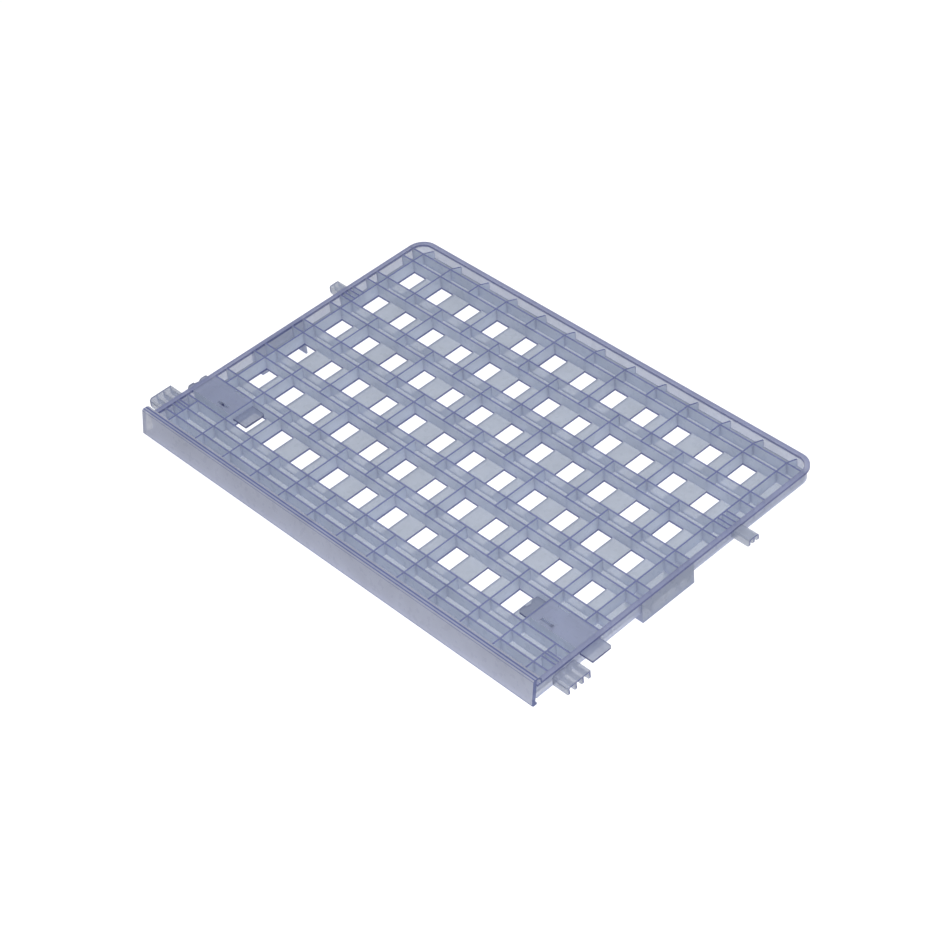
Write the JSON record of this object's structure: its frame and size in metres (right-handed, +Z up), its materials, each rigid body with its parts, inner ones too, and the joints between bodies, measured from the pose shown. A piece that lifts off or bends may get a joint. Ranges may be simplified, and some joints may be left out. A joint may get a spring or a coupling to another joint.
{
  "type": "queen excluder grid panel",
  "caption": "Clear moulded plastic grid panel with square windows, a clip-on front fascia, rear pivot pins, finned front lugs, side feet and a sliding latch under each front corner.",
  "frame": {"origin": "centre of the bounding box in X and Y, on the plane that the two side feet rest on", "axes": "+X along the front edge to the right, +Y towards the rear edge with the round corners, +Z up"},
  "size_m": [0.467, 0.3044, 0.0294],
  "materials": {
    "clear_grid": "clear pale blue moulded plastic, gloss",
    "clear_latch": "clear pale blue moulded plastic, satin",
    "clear_fascia": "clear pale blue moulded plastic, gloss"
  },
  "bodies": {
    "panel": {"floor_plate": "clear_grid", "long_ribs": "clear_grid", "cross_ribs": "clear_grid", "rear_rim": "clear_grid", "left_side_rim": "clear_grid", "right_side_rim": "clear_grid", "front_wall": "clear_grid", "left_channel_ribs": "clear_grid", "right_channel_ribs": "clear_grid", "left_side_foot": "clear_grid", "right_side_foot": "clear_grid", "left_rear_pin": "clear_grid", "right_rear_pin": "clear_grid", "left_front_lug": "clear_grid", "right_front_lug": "clear_grid", "left_latch_cover": "clear_grid", "right_latch_cover": "clear_grid", "left_latch_rails": "clear_grid", "right_latch_rails": "clear_grid", "front_fascia": "clear_fascia"},
    "left_latch_slider": {"left_latch": "clear_latch"},
    "right_latch_slider": {"right_latch": "clear_latch"}
  },
  "joints": [
    {"name": "left_latch_slide", "type": "slide", "parent": "panel", "child": "left_latch_slider", "axis": [1, 0, 0], "range_m": [-0.0017, 0.0068]},
    {"name": "right_latch_slide", "type": "slide", "parent": "panel", "child": "right_latch_slider", "axis": [-1, 0, 0], "range_m": [0, 0.0085]}
  ]
}
